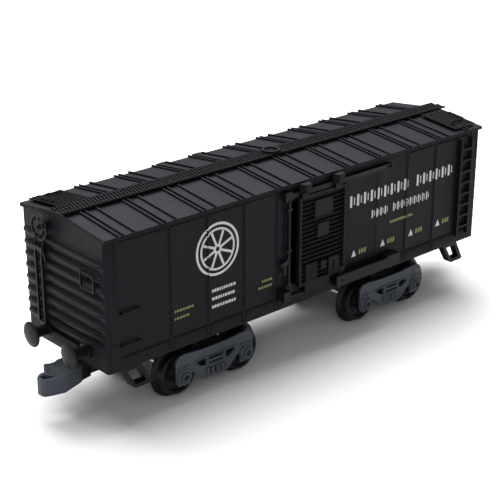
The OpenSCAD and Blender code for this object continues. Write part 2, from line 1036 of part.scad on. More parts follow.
// Half section of a wheel: radius from the axle, and distance outwards from its back
module wheel_section() {
    polygon([
        [axle_r, -0.4], [hub_r, -0.4], [hub_r, 1.4], [dish_r, 1.4], [dish_r, 0],
        [flange_r - 0.6, 0], [flange_r, 0.4], [flange_r, 0.9], [flange_r - 0.5, flange_t],
        [tread_r + 0.4, flange_t + 0.2], [tread_r, flange_t + 0.7], [tread_r - 0.2, wheel_w - 0.3],
        [tread_r - 0.5, wheel_w], [dish_r, wheel_w], [dish_r - 0.3, wheel_w - dish_d],
        [hub_r + 0.3, wheel_w - dish_d], [hub_r, wheel_w + hub_out], [axle_r, wheel_w + hub_out]
    ]);
}

// Wheel on the side s of the axle at x
module wheel(x, s) {
    color(wheel_colour)
        translate([x, s * back_to_back / 2, axle_z])
            rotate([-90 * s, 0, 0])
                rotate_extrude()
                    wheel_section();
}

module wheel_left_outer_near() {
    wheel(-pivot_x - wheelbase / 2, -1);
}

module wheel_left_outer_far() {
    wheel(-pivot_x - wheelbase / 2, 1);
}

module wheel_left_inner_near() {
    wheel(-pivot_x + wheelbase / 2, -1);
}

module wheel_left_inner_far() {
    wheel(-pivot_x + wheelbase / 2, 1);
}

module wheel_right_outer_near() {
    wheel(pivot_x + wheelbase / 2, -1);
}

module wheel_right_outer_far() {
    wheel(pivot_x + wheelbase / 2, 1);
}

module wheel_right_inner_near() {
    wheel(pivot_x - wheelbase / 2, -1);
}

module wheel_right_inner_far() {
    wheel(pivot_x - wheelbase / 2, 1);
}

// ---------- couplers: drawn at the left end ----------

// Plan of the head: hook on -Y, short finger on +Y, round throat between them
module head_plan() {
    difference() {
        polygon([
            [-112, -3], [-116.7, -3.8], [-119.5, -5.4], [-129.4, -8.5], [-134.7, -7.2],
            [-138, -6], [-138.8, -4.4], [-138.9, -1.6], [-136.9, 0.3], [-135.2, 1.1],
            [-133.8, 0.9], [-132.9, -0.3], [-130.6, -4.4], [-128, -2], [-128.2, 4],
            [-129.9, 5.6], [-130, 7], [-128.6, 7.2], [-127, 6.1], [-124.8, 6.1],
            [-122.6, 7.1], [-120.2, 7], [-116.7, 4], [-112, 3]
        ]);
        translate([-132.8, -0.2])
            intersection() {
                circle(jaw_r);
                translate([0.2, -jaw_r])
                    square([jaw_r, 2 * jaw_r]);
            }
    }
}

module coupler() {
    color(bogie_colour)
        difference() {
            union() {
                translate([0, 0, coupler_z])
                    linear_extrude(coupler_h)
                        translate([head_shift, 0])
                            head_plan();
                block([-114, -3, eye_z[0]], [-coupler_pivot_x, 3, eye_z[1]]);
                translate([-coupler_pivot_x, 0, eye_z[0]])
                    cylinder(h = eye_z[1] - eye_z[0], r = eye_r);
            }
            translate([0, 0, coupler_z + coupler_h - pocket_d])
                linear_extrude(pocket_d + eps)
                    translate([head_shift, 0])
                        polygon([
                            [-137.4, -1.6], [-134.9, -1.2], [-132.6, -4.9], [-133.5, -6], [-137.4, -4.8]
                        ]);
            translate([-coupler_pivot_x, 0, 0])
                cylinder(h = sill_z, r = pin_r + running_gap);
        }
}

module coupler_left() {
    coupler();
}

module coupler_right() {
    turned()
        coupler();
}

// Rivet that carries the coupler under the tongue of the bogie frame
module coupler_pin() {
    color(steel_colour)
        translate([-coupler_pivot_x, 0, 0])
            union() {
                translate([0, 0, eye_z[0] - air - pin_head_t])
                    cylinder(h = pin_head_t, r = pin_head_r);
                translate([0, 0, eye_z[0] - air])
                    cylinder(h = tongue_z[1] - eye_z[0] + air, r = pin_r);
                translate([0, 0, tongue_z[1]])
                    cylinder(h = pin_head_t * 0.8, r = pin_head_r);
            }
}

module coupler_pin_left() {
    coupler_pin();
}

module coupler_pin_right() {
    turned()
        coupler_pin();
}

body_shell();
roof();
running_board();
walkway_near();
walkway_far();
roof_ring();
underframe();
body_screws();
ladder_near();
ladder_far();
grab_irons();
placard_frame();
brake_rigging();
brake_wheel();
buffer_left_near();
buffer_left_far();
buffer_right_near();
buffer_right_far();
step_left_near();
step_right_near();
step_right_far();
door_near();
door_far();
rail_near();
rail_far();
track_near();
track_far();
latch_near();
latch_far();
kingpin_left();
kingpin_right();
kingpin_washer_left();
kingpin_washer_right();
bogie_frame_left();
bogie_frame_right();
side_frame_left_near();
side_frame_left_far();
side_frame_right_near();
side_frame_right_far();
axle_left_outer();
axle_left_inner();
axle_right_outer();
axle_right_inner();
wheel_left_outer_near();
wheel_left_outer_far();
wheel_left_inner_near();
wheel_left_inner_far();
wheel_right_outer_near();
wheel_right_outer_far();
wheel_right_inner_near();
wheel_right_inner_far();
coupler_left();
coupler_right();
coupler_pin_left();
coupler_pin_right();
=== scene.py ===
import json
import math
import random

import bmesh
import bpy
from mathutils import Matrix, Vector

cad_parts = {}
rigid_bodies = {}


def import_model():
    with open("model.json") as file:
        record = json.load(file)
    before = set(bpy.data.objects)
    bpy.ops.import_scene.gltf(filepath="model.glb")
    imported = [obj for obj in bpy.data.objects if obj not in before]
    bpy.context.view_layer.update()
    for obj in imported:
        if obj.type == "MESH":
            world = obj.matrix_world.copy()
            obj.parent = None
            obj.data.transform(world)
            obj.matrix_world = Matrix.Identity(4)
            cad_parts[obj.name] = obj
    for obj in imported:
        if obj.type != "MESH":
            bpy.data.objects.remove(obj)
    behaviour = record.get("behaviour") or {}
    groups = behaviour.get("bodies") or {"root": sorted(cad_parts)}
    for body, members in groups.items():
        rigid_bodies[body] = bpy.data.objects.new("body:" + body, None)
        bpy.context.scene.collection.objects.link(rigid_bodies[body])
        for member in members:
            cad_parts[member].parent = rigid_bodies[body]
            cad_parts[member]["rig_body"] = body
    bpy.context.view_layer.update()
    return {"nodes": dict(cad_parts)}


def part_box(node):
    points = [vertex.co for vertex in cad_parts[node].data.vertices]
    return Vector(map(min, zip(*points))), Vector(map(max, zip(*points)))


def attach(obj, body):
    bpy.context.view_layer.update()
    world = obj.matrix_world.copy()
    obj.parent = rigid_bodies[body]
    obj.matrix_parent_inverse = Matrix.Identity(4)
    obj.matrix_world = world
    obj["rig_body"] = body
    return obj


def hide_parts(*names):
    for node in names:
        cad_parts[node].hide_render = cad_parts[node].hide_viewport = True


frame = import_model()

# Lengths in this script are millimetres, and turn into metres when a mesh is made.
# The camera, the lights and the floor alone are in metres.
MM = 0.001
HALF_TURN = Matrix.Rotation(math.pi, 4, "Z")
NO_TURN = Matrix.Identity(4)
ENDS = ("left", "right")
SIDES = {"near": NO_TURN, "far": HALF_TURN}

# Camera: where it stands, the way it faces in degrees, and its lens
CAMERA_AT = (-0.3995, -0.4280, 0.2822)
CAMERA_AZIMUTH = -42.055
CAMERA_ELEVATION = 22.129
CAMERA_LENS = 93.06

# Lights: the place, size and power of each, and what they all face
SKY_STRENGTH = 0.3
LIGHTS = {
    "top_light": ((0.1, 0.4, 1.1), (1.4, 1.1), 31),
    "front_light": ((-0.9, -0.9, 0.7), (0.9, 0.6), 3),
}
LIT_PLACE = (0, 0, 0.05)

# Floor: half its width, and the two tones of its paper
FLOOR_REACH = 6
FLOOR_TONES = ((0.86, 0.86, 0.86), (0.89, 0.89, 0.89))

# Colours of the plastics, and of their edges, lighter partly from wear and partly as a painted
# highlight
# The black painted as shade into the recesses of the grey mouldings
RECESS_SHADE_BLACK = (0.004, 0.0044, 0.0052)
DARK = (0.0068, 0.0075, 0.0098)
DARK_WEAR_AND_HIGHLIGHT = (0.028, 0.030, 0.036)
TRIM_BLACK = (0.0052, 0.0058, 0.0074)
ROOF_GREY = (0.0160, 0.0154, 0.0195)
ROOF_WEAR_AND_HIGHLIGHT = (0.05, 0.05, 0.056)
GREY = (0.048, 0.055, 0.069)
GREY_WEAR_AND_HIGHLIGHT = (0.15, 0.16, 0.18)
WHEEL_BLACK = (0.0045, 0.0047, 0.0055)
WHEEL_WEAR_AND_HIGHLIGHT = (0.025, 0.026, 0.029)

# Shares of a colour in its darkest and lightest marks, and of the painted shade on undersides
DARKEST = 0.86
LIGHTEST = 1.16
UNDERSIDE_SHADE = 0.3

# How near to the wagon's middle planes the painted shade in the recesses of the grey mouldings starts
SIDE_FRAME_SHADE_Y = 26.3
COUPLER_SHADE_X = 116.5

# Moulded edges
EDGE_RADIUS = 0.14
EDGE_ANGLE = 34

# Turned parts: the smallest radius, which keeps a profile closed at its axis
AXIS_R = 0.02

# Sides: half the width over their plain walls, how far their bands and seam strips stand
# out of these, the top of the lower band, and where the wall between the corner posts ends
HALF_W = 29.35
BAND_T = 0.35
SEAM_T = 0.2
BAND_TOP = 35
WALL_END = 112

# Rivets, their rows, and the share of the room behind a door that they take
RIVET_R = 0.56
RIVET_H = 0.48
RIVET_ROOT = 0.08
RIVET_PITCH = 1.6
RIVET_SIDES = 8
POST_RIVET_X = -118.4
POST_RIVET_H = 0.3
TOP_ROW_Z = 86.6
BAND_ROWS_Z = (30.4, 33.4)
BAND_ROW_PITCH = 1.5
SHARE_BEHIND_DOOR = 0.55

# Gratings of the running board and the walkways
BAR_PITCH = 1.75
BAR_W = 0.6
BAR_H = 0.75
BAR_GAP = 0.5
PLATE_T = 0.3
GRAB_RAIL_R = 0.42
GRAB_RAIL_RISE = 0.8

# Prints on a side: places along it and heights
INK_T = 0.06
BADGE_AT = (-58.9, 69.6)
BADGE_R = 12.4
SMALL_LINES_X = (-62.5, -48.6)
SMALL_LINES_Z = (50.3, 46.5, 42.6)
YELLOW_LINES = (
    (-83.7, -73.2, 46.8), (-83.7, -75.0, 43.3), (-32.5, -25.8, 46.2), (-34.6, -25.8, 43.2),
)
LARGE_LINE = (24.5, 101.3, 67.9, 73.7)
MIDDLE_LINE = (40.1, 83.4, 58.8, 63.0)
YELLOW_LINE = (53.6, 70.4, 52.8, 54.1)
TRIANGLES_X = (28.1, 48.8, 69.8, 90.6)
TRIANGLE_Z = (41.9, 45.4)
TRIANGLE_REACH = 1.7


# ---------- frame ----------

def box(node):
    """Lowest and highest corners of a CAD node at rest, in millimetres."""
    low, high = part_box(node)
    return low / MM, high / MM


def places(node, axis, on_axis, level):
    """Sorted places along axis of the node's corners whose on_axis place is level, in millimetres."""
    found = {
        round(v.co[axis] / MM, 2)
        for v in frame["nodes"][node].data.vertices
        if abs(v.co[on_axis] / MM - level) < 0.01
    }
    return sorted(found)


# ---------- meshes ----------

class Solid:
    """Closed shapes that together make one piece."""

    def __init__(self):
        self.points = []
        self.faces = []

    def add(self, points, faces):
        start = len(self.points)
        self.points += [Vector(p) for p in points]
        self.faces += [[start + i for i in face] for face in faces]

    def box(self, low, high):
        (x0, y0, z0), (x1, y1, z1) = low, high
        self.prism([(x0, y0), (x1, y0), (x1, y1), (x0, y1)], lambda p, z: (*p, z), z0, z1)

    def prism(self, outline, place, start, end):
        """A convex outline swept from start to end; place(point, level) gives a corner."""
        n = len(outline)
        points = [place(p, start) for p in outline] + [place(p, end) for p in outline]
        walls = [[i, (i + 1) % n, n + (i + 1) % n, n + i] for i in range(n)]
        self.add(points, [list(range(n))[::-1], list(range(n, 2 * n)), *walls])

    def lathe(self, profile, centre, axis, steps=96):
        """A closed profile of (radius, height) points turned about axis through centre."""
        turn = Vector((0, 0, 1)).rotation_difference(Vector(axis)).to_matrix()
        n = len(profile)
        points = []
        for k in range(steps):
            a = 2 * math.pi * k / steps
            for r, h in profile:
                points.append(Vector(centre) + turn @ Vector((r * math.cos(a), r * math.sin(a), h)))
        faces = []
        for k in range(steps):
            here, after = k * n, (k + 1) % steps * n
            for i in range(n):
                j = (i + 1) % n
                faces.append([here + i, after + i, after + j, here + j])
        self.add(points, faces)

    def tube(self, path, radius, sides=12, closed=False):
        """A round bar along a path of points."""
        path = [Vector(p) for p in path]
        count = len(path)
        rings = []
        side = None
        for i, p in enumerate(path):
            before = path[i - 1] if i or closed else path[0]
            after = path[(i + 1) % count] if i < count - 1 or closed else path[-1]
            along = (after - before).normalized()
            if side is None:
                side = along.orthogonal().normalized()
            side = (side - along * side.dot(along)).normalized()
            other = along.cross(side)
            for k in range(sides):
                a = 2 * math.pi * k / sides
                rings.append(p + radius * (math.cos(a) * side + math.sin(a) * other))
        faces = []
        for i in range(count if closed else count - 1):
            here, after = i * sides, (i + 1) % count * sides
            for k in range(sides):
                j = (k + 1) % sides
                faces.append([here + k, here + j, after + j, after + k])
        if not closed:
            faces.append(list(range(sides))[::-1])
            faces.append([(count - 1) * sides + k for k in range(sides)])
        self.add(rings, faces)

    def rivet(self, centre, out, height):
        """A low domed head that stands out of a wall along out."""
        turn = Vector((0, 0, 1)).rotation_difference(Vector(out)).to_matrix()
        points = []
        dome = ((1, -RIVET_ROOT), (0.92, height * 0.45), (0.5, height))
        for share, h in dome:
            r = RIVET_R * share
            for k in range(RIVET_SIDES):
                a = 2 * math.pi * (k + 0.5) / RIVET_SIDES
                points.append(Vector(centre) + turn @ Vector((r * math.cos(a), r * math.sin(a), h)))
        faces = [list(range(RIVET_SIDES))[::-1], list(range(2 * RIVET_SIDES, 3 * RIVET_SIDES))]
        for ring in (0, RIVET_SIDES):
            for k in range(RIVET_SIDES):
                j = (k + 1) % RIVET_SIDES
                faces.append([ring + k, ring + j, ring + RIVET_SIDES + j, ring + RIVET_SIDES + k])
        self.add(points, faces)

    def piece(self, name, material, body, slot, turn=NO_TURN, stands_for=()):
        """Turns the shapes into a Blender object that rides on a body."""
        mesh = bpy.data.meshes.new(name)
        mesh.from_pydata([turn @ p * MM for p in self.points], [], self.faces)
        return settle(name, mesh, material, body, stands_for)


def arc(centre_r, centre_h, radius, start, end, steps=6):
    """Points of a rounded corner, as its centre and radius and its angles in degrees."""
    points = []
    for k in range(steps + 1):
        a = math.radians(start + (end - start) * k / steps)
        points.append((centre_r + radius * math.cos(a), centre_h + radius * math.sin(a)))
    return points


def settle(name, mesh, material, body, stands_for):
    """Makes the object of a mesh, with smooth curves and sharp corners, and fixes it to its body."""
    shape = bmesh.new()
    shape.from_mesh(mesh)
    bmesh.ops.recalc_face_normals(shape, faces=shape.faces)
    shape.to_mesh(mesh)
    shape.free()
    mesh.shade_smooth()
    mesh.set_sharp_from_angle(angle=math.radians(EDGE_ANGLE))
    mesh.materials.append(material)
    piece = bpy.data.objects.new(name, mesh)
    bpy.context.scene.collection.objects.link(piece)
    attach(piece, body)
    if stands_for:
        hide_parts(*stands_for)
    return piece


def round_edges(piece):
    """Gives the corners of a moulded piece their small radius."""
    edges = piece.modifiers.new("edges", "BEVEL")
    edges.width = EDGE_RADIUS * MM
    edges.segments = 2
    edges.limit_method = "ANGLE"
    edges.angle_limit = math.radians(EDGE_ANGLE)
    edges.use_clamp_overlap = False
    edges.harden_normals = True
    edges.miter_outer = "MITER_ARC"


def moulded(node, material, thin=False):
    """A CAD node's own shape, joined into one skin and given moulded edges.

    The edges of a node with thin or crowded walls are rounded by its material alone."""
    source = frame["nodes"][node]
    shape = bmesh.new()
    shape.from_mesh(source.data)
    bmesh.ops.remove_doubles(shape, verts=shape.verts, dist=2e-6)
    bmesh.ops.dissolve_limit(
        shape, angle_limit=math.radians(0.5), verts=shape.verts, edges=shape.edges
    )
    mesh = bpy.data.meshes.new(f"{node}_moulded")
    shape.to_mesh(mesh)
    shape.free()
    piece = settle(f"{node}_moulded", mesh, material, source["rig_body"], (node,))
    if not thin:
        round_edges(piece)


# ---------- materials ----------

def shader(name):
    """A new material, with its nodes, its links and its shader."""
    material = bpy.data.materials.new(name)
    material.use_nodes = True
    nodes = material.node_tree.nodes
    return material, nodes, material.node_tree.links, nodes["Principled BSDF"]


def noise(nodes, links, scale, detail=3, stretch=(1, 1, 1)):
    """Noise in the object's own space, its scale in features per metre."""
    where = nodes.new("ShaderNodeTexCoord")
    stretched = nodes.new("ShaderNodeMapping")
    stretched.inputs["Scale"].default_value = stretch
    texture = nodes.new("ShaderNodeTexNoise")
    texture.inputs["Scale"].default_value = scale
    texture.inputs["Detail"].default_value = detail
    links.new(where.outputs["Object"], stretched.inputs["Vector"])
    links.new(stretched.outputs["Vector"], texture.inputs["Vector"])
    return texture.outputs["Fac"]


def spread(nodes, links, value, low, high, start=0.3, end=0.7):
    """Maps a noise value onto the range from low to high."""
    remap = nodes.new("ShaderNodeMapRange")
    remap.inputs["From Min"].default_value = start
    remap.inputs["From Max"].default_value = end
    remap.inputs["To Min"].default_value = low
    remap.inputs["To Max"].default_value = high
    links.new(value, remap.inputs["Value"])
    return remap.outputs["Result"]


def blend_colours(nodes, links, value, first, second):
    """From first to second as value goes from 0 to 1; each is a colour or a socket."""
    mix = nodes.new("ShaderNodeMix")
    mix.data_type = "RGBA"
    links.new(value, mix.inputs["Factor"])
    for socket, colour in (("A", first), ("B", second)):
        target = [s for s in mix.inputs if s.name == socket and s.type == "RGBA"][0]
        if isinstance(colour, tuple):
            target.default_value = (*colour, 1)
        else:
            links.new(colour, target)
    return [s for s in mix.outputs if s.type == "RGBA"][0]


def bump(nodes, links, value, strength, depth, normal=None):
    """The normal of a surface with relief of the given depth, over another normal if there is one."""
    raised = nodes.new("ShaderNodeBump")
    raised.inputs["Strength"].default_value = strength
    raised.inputs["Distance"].default_value = depth * MM
    links.new(value, raised.inputs["Height"])
    if normal:
        links.new(normal, raised.inputs["Normal"])
    return raised.outputs["Normal"]


def rounded_normal(nodes, radius):
    """The normal of a surface whose corners have the given radius."""
    rounded = nodes.new("ShaderNodeBevel")
    rounded.samples = 4
    rounded.inputs["Radius"].default_value = radius * MM
    return rounded.outputs["Normal"]


def edge_mask(nodes, links, radius):
    """1 along convex and concave edges and 0 on flat faces, from a rounded normal."""
    face = nodes.new("ShaderNodeNewGeometry")
    product = nodes.new("ShaderNodeVectorMath")
    product.operation = "DOT_PRODUCT"
    links.new(rounded_normal(nodes, radius), product.inputs[0])
    links.new(face.outputs["Normal"], product.inputs[1])
    return spread(nodes, links, product.outputs["Value"], 1, 0, start=0.75, end=0.99)


def facing(nodes, links, low, high):
    """0 where a face's normal has a Z below low, and 1 where it is above high."""
    face = nodes.new("ShaderNodeNewGeometry")
    parts = nodes.new("ShaderNodeSeparateXYZ")
    links.new(face.outputs["True Normal"], parts.inputs[0])
    return spread(nodes, links, parts.outputs["Z"], 0, 1, start=low, end=high)


def inside(nodes, links, axis, level):
    """1 where a place in the piece lies nearer than level to the middle plane across axis."""
    where = nodes.new("ShaderNodeTexCoord")
    parts = nodes.new("ShaderNodeSeparateXYZ")
    links.new(where.outputs["Object"], parts.inputs[0])
    size = nodes.new("ShaderNodeMath")
    size.operation = "ABSOLUTE"
    links.new(parts.outputs[axis], size.inputs[0])
    blur = 0.3
    return spread(nodes, links, size.outputs[0], 1, 0, (level - blur) * MM, (level + blur) * MM)


def plastic(name, colour, wear_and_highlight, roughness, gloss, walls=None, shade_within=None):
    """Moulded plastic: faint flow marks, eggshell grain, and edges lightened in patches, partly as
    wear and partly as a painted highlight.

    Undersides get painted shade, a darker share of the colour. walls is a darker colour for faces
    that don't look up, painted shade beside lighter tops, where it differs. The last argument is an
    axis and a level: what lies within it is painted black, as shade in a recess."""
    material, nodes, links, surface = shader(name)
    marks = spread(nodes, links, noise(nodes, links, 55, stretch=(1, 1, 0.35)), 0, 1)
    fine = noise(nodes, links, 900, detail=2)
    darker = tuple(DARKEST * c for c in colour)
    lighter = tuple(LIGHTEST * c for c in colour)
    base = blend_colours(nodes, links, marks, darker, lighter)
    # Painted light and shade: faces that look up keep the lighter colour, the rest get the darker
    # walls colour.
    if walls:
        base = blend_colours(nodes, links, facing(nodes, links, 0.85, 0.95), walls, base)
    # Painted shade: what lies within the level is painted black, as in a shaded recess.
    if shade_within:
        base = blend_colours(nodes, links, inside(nodes, links, *shade_within), base, RECESS_SHADE_BLACK)
    # Painted shade: faces that look down get a darker share of their colour.
    painted_under_shade = tuple(UNDERSIDE_SHADE * c for c in walls or colour)
    base = blend_colours(nodes, links, facing(nodes, links, -0.55, -0.1), painted_under_shade, base)
    # Edges lightened in noisy patches: partly wear, partly a painted highlight.
    edges = edge_mask(nodes, links, 0.3)
    patchy_wear_and_highlight = nodes.new("ShaderNodeMath")
    patchy_wear_and_highlight.operation = "MULTIPLY"
    links.new(edges, patchy_wear_and_highlight.inputs[0])
    links.new(spread(nodes, links, noise(nodes, links, 210), 0.1, 0.75), patchy_wear_and_highlight.inputs[1])
    links.new(
        blend_colours(nodes, links, patchy_wear_and_highlight.outputs[0], base, wear_and_highlight), surface.inputs["Base Color"]
    )
    links.new(
        spread(nodes, links, fine, roughness - 0.05, roughness + 0.07), surface.inputs["Roughness"]
    )
    corners = rounded_normal(nodes, EDGE_RADIUS)
    skin = bump(nodes, links, noise(nodes, links, 4200, detail=2), 0.35, 0.02, corners)
    links.new(
        bump(nodes, links, noise(nodes, links, 160, detail=2), 0.25, 0.05, skin),
        surface.inputs["Normal"],
    )
    surface.inputs["Specular IOR Level"].default_value = gloss
    return material


def metal(name, colour, roughness):
    """Turned steel with fine tool marks and slight tarnish."""
    material, nodes, links, surface = shader(name)
    tarnish = spread(nodes, links, noise(nodes, links, 320), 0, 1)
    duller = tuple(0.7 * c for c in colour)
    links.new(blend_colours(nodes, links, tarnish, colour, duller), surface.inputs["Base Color"])
    marks = noise(nodes, links, 2400, detail=2, stretch=(1, 0.08, 1))
    links.new(
        spread(nodes, links, marks, roughness - 0.08, roughness + 0.14), surface.inputs["Roughness"]
    )
    links.new(bump(nodes, links, marks, 0.25, 0.02), surface.inputs["Normal"])
    surface.inputs["Metallic"].default_value = 1
    return material


def ink(name, colour):
    """Pad-printed ink: a little thin in places, so the plastic darkens it."""
    material, nodes, links, surface = shader(name)
    thin = spread(nodes, links, noise(nodes, links, 1500, detail=4), 0, 1, start=0.25, end=0.62)
    faded = tuple(0.62 * c for c in colour)
    links.new(blend_colours(nodes, links, thin, faded, colour), surface.inputs["Base Color"])
    links.new(
        spread(nodes, links, noise(nodes, links, 600), 0.45, 0.65), surface.inputs["Roughness"]
    )
    links.new(
        bump(nodes, links, noise(nodes, links, 5200, detail=2), 0.3, 0.015), surface.inputs["Normal"]
    )
    surface.inputs["Specular IOR Level"].default_value = 0.3
    return material


BODY = plastic("body_plastic", DARK, DARK_WEAR_AND_HIGHLIGHT, 0.48, 0.10)
# The roof's tops are lighter than its walls partly in its own grey and partly as painted light; its
# walls and eaves get the body's dark colour as painted shade.
ROOF = plastic("roof_plastic", ROOF_GREY, ROOF_WEAR_AND_HIGHLIGHT, 0.58, 0.10, walls=DARK)
TRIM = plastic("trim_plastic", TRIM_BLACK, DARK_WEAR_AND_HIGHLIGHT, 0.42, 0.14)
# The side frames' recesses and the coupler necks under the buffer beam are painted black as shade.
SIDE_FRAME = plastic(
    "bogie_plastic_side_frame", GREY, GREY_WEAR_AND_HIGHLIGHT, 0.50, 0.2, shade_within=("Y", SIDE_FRAME_SHADE_Y)
)
COUPLER = plastic(
    "bogie_plastic_coupler", GREY, GREY_WEAR_AND_HIGHLIGHT, 0.50, 0.2, shade_within=("X", COUPLER_SHADE_X)
)
WHEEL = plastic("wheel_plastic", WHEEL_BLACK, WHEEL_WEAR_AND_HIGHLIGHT, 0.40, 0.2)
STEEL = metal("bright_steel", (0.62, 0.62, 0.64), 0.30)
WHITE = ink("white_print", (0.62, 0.62, 0.64))
YELLOW = ink("yellow_print", (0.26, 0.235, 0.085))


# ---------- CAD pieces ----------

def finish_cad_pieces():
    """Moulded edges and materials for the pieces whose CAD shape is the final one."""
    trim = ["underframe", "placard_frame", "brake_rigging", "bogie_frame_left", "bogie_frame_right"]
    trim += [f"{part}_{side}" for part in ("rail", "track") for side in SIDES]
    trim += [node for node in frame["nodes"] if node.startswith("step_")]
    for node in ("body_shell", "door_near", "door_far"):
        moulded(node, BODY)
    for node in ("ladder_near", "ladder_far"):
        moulded(node, BODY, thin=True)
    moulded("roof", ROOF)
    for node in trim:
        moulded(node, TRIM)
    for end in ENDS:
        moulded(f"coupler_{end}", COUPLER)
        for side in SIDES:
            moulded(f"side_frame_{end}_{side}", SIDE_FRAME, thin=True)
    kept = {"grab_irons": TRIM, "latch_near": TRIM, "latch_far": TRIM, "body_screws": STEEL}
    for end in ENDS:
        for part in ("kingpin", "kingpin_washer", "coupler_pin"):
            kept[f"{part}_{end}"] = STEEL
        for place in ("outer", "inner"):
            kept[f"axle_{end}_{place}"] = STEEL
    for node, material in kept.items():
        materials = frame["nodes"][node].data.materials
        materials.clear()
        materials.append(material)


# ---------- roof ----------

def rib_pairs():
    """Middle of each pair of roof ribs."""
    roof_low, _ = box("roof")
    edges = places("roof", 0, 1, roof_low.y)
    ribs = [(a + b) / 2 for a, b in zip(edges[::2], edges[1::2])]
    return [(a + b) / 2 for a, b in zip(ribs, ribs[1:]) if b - a < 4]


def equal_lanes(low, high, count):
    """Start and end of count equal lanes from low to high, with a gap between them."""
    width = (high - low) / count
    starts = [low + i * width for i in range(count)]
    return [(start + BAR_GAP / 2, start + width - BAR_GAP / 2) for start in starts]


def grating(solid, lanes, run, top, across):
    """Lanes of raised bars, each lane half a pitch on from the next.

    lanes gives each lane's start and end across, run the start and end of the lanes,
    and across(u, v, z) places a point at u along the lane and v across it."""
    for number, (low, high) in enumerate(lanes):
        u = run[0] + BAR_PITCH * (0.5 if number % 2 else 0) + BAR_W
        while u + BAR_W < run[1]:
            outline = [(u, low), (u + BAR_W, low), (u + BAR_W, high), (u, high)]
            solid.prism(outline, lambda p, z: across(p[0], p[1], z), top - BAR_H, top)
            u += BAR_PITCH


def running_board():
    """The walkway along the ridge: a thin plate on saddles, with three lanes of bars."""
    low, high = box("running_board")
    margin = 0.25
    lip = 0.3
    sink = 0.1
    saddle_reach, saddle_h, saddle_inset = 2.1, 0.6, 0.4
    board, bars = Solid(), Solid()
    plate_top = low.z + PLATE_T
    board.box((low.x, low.y, low.z), (high.x, high.y, plate_top))
    lanes = equal_lanes(low.y + margin, high.y - margin, 3)
    grating(bars, lanes, (low.x, high.x), high.z, lambda u, v, z: (u, v, z))
    for y in (low.y, high.y - lip):
        board.box((low.x, y, plate_top - sink), (high.x, y + lip, high.z))
    y0, y1 = low.y + saddle_inset, high.y - saddle_inset
    outline = [
        (y0, low.z - saddle_h), (0, low.z - sink), (y1, low.z - saddle_h),
        (y1, plate_top - sink), (y0, plate_top - sink),
    ]
    for x in rib_pairs():
        board.prism(outline, lambda p, x: (x, *p), x - saddle_reach, x + saddle_reach)
    # Painted light and shade: the plate takes the black trim plastic as the shade between the bars,
    # and the bars take the roof plastic, so their tops are painted light.
    board.piece("running_board_plate", TRIM, "wagon", "trim_plastic", NO_TURN, ("running_board",))
    bars.piece("running_board_bars", ROOF, "wagon", "roof_plastic")


def walkway(node, turn):
    """The grating on the slope at one end, with its corner grab rail, drawn on the near side."""
    low, high = box(node)
    if turn is HALF_TURN:
        low, high = Vector((-high.x, -high.y, low.z)), Vector((-low.x, -low.y, high.z))
    thick, plate = 0.8, 0.4
    margin, lip = 0.3, 0.35
    slope = (high.z - low.z - thick) / (high.y - low.y)

    def on_slope(x, y, z):
        return (x, y, z + high.z + slope * (y - high.y))

    walk = Solid()
    outline = [(low.x, low.y), (high.x, low.y), (high.x, high.y), (low.x, high.y)]
    walk.prism(outline, lambda p, z: on_slope(*p, z), -thick, plate - thick)
    lanes = equal_lanes(low.x + margin, high.x - margin, 6)
    grating(walk, lanes, (low.y, high.y), 0, lambda u, v, z: on_slope(v, u, z))
    for x in (low.x, high.x - lip):
        edge = [(x, low.y), (x + lip, low.y), (x + lip, high.y), (x, high.y)]
        walk.prism(edge, lambda p, z: on_slope(*p, z), -thick, -0.1)
    rail_x = (low.x + 3, high.x - 2)
    rail_y = (low.y + 5.4, high.y - 6.5)
    bend = 1.4
    corner = arc(rail_x[1] - bend, rail_y[0] + bend, bend, 0, -90)
    bar = [(rail_x[1], rail_y[1] - 0.3), *corner, (rail_x[0] + 0.3, rail_y[0])]
    path = [on_slope(x, y, GRAB_RAIL_RISE) for x, y in bar]
    feet = [on_slope(rail_x[1], rail_y[1], 0), on_slope(rail_x[0], rail_y[0], 0)]
    walk.tube([feet[0], *path, feet[1]], GRAB_RAIL_R)
    walk.piece(f"{node}_grating", TRIM, "wagon", "trim_plastic", turn, (node,))


def roof_ring():
    """The vent ring on the running board, with a spoked guard inside it."""
    low, high = box("roof_ring")
    outer = (high.x - low.x) / 2
    middle = ((low.x + high.x) / 2, (low.y + high.y) / 2, low.z)
    rise = high.z - low.z
    wall = 1.25
    inner = outer - wall
    root = -0.2
    outer_round, inner_round = 0.35, 0.3
    spoke_r, spoke_z = 0.22, 0.35
    ring = Solid()
    profile = [(outer, root), (outer, rise * 0.62)]
    profile += arc(outer - outer_round, rise - outer_round, outer_round, 0, 90, 4)
    profile += arc(inner + inner_round, rise - inner_round, inner_round, 90, 180, 4)
    profile.append((inner, root))
    ring.lathe(profile, middle, (0, 0, 1))
    hub = [(AXIS_R, 0.1), (0.8, 0.1), (0.8, 0.5), (0.5, 0.65), (AXIS_R, 0.7)]
    ring.lathe(hub, middle, (0, 0, 1), 32)
    for k in range(6):
        a = math.radians(60 * k + 30)
        reach = Vector((math.cos(a), math.sin(a), 0))
        start = Vector(middle) + reach * 0.5 + Vector((0, 0, spoke_z))
        ring.tube([start, start + reach * (inner - 0.3)], spoke_r, 8)
    ring.piece("roof_ring_turned", ROOF, "wagon", "roof_plastic", NO_TURN, ("roof_ring",))


# ---------- sides ----------

def wall_planes():
    """Where the near side's plain wall, its seam strips and its bands lie."""
    return -HALF_W, -HALF_W - SEAM_T, -HALF_W - BAND_T


def seam_strips():
    """Left and right edge of each seam strip of the near side."""
    _, seam_y, _ = wall_planes()
    edges = places("body_shell", 0, 1, seam_y)
    return list(zip(edges[::2], edges[1::2]))


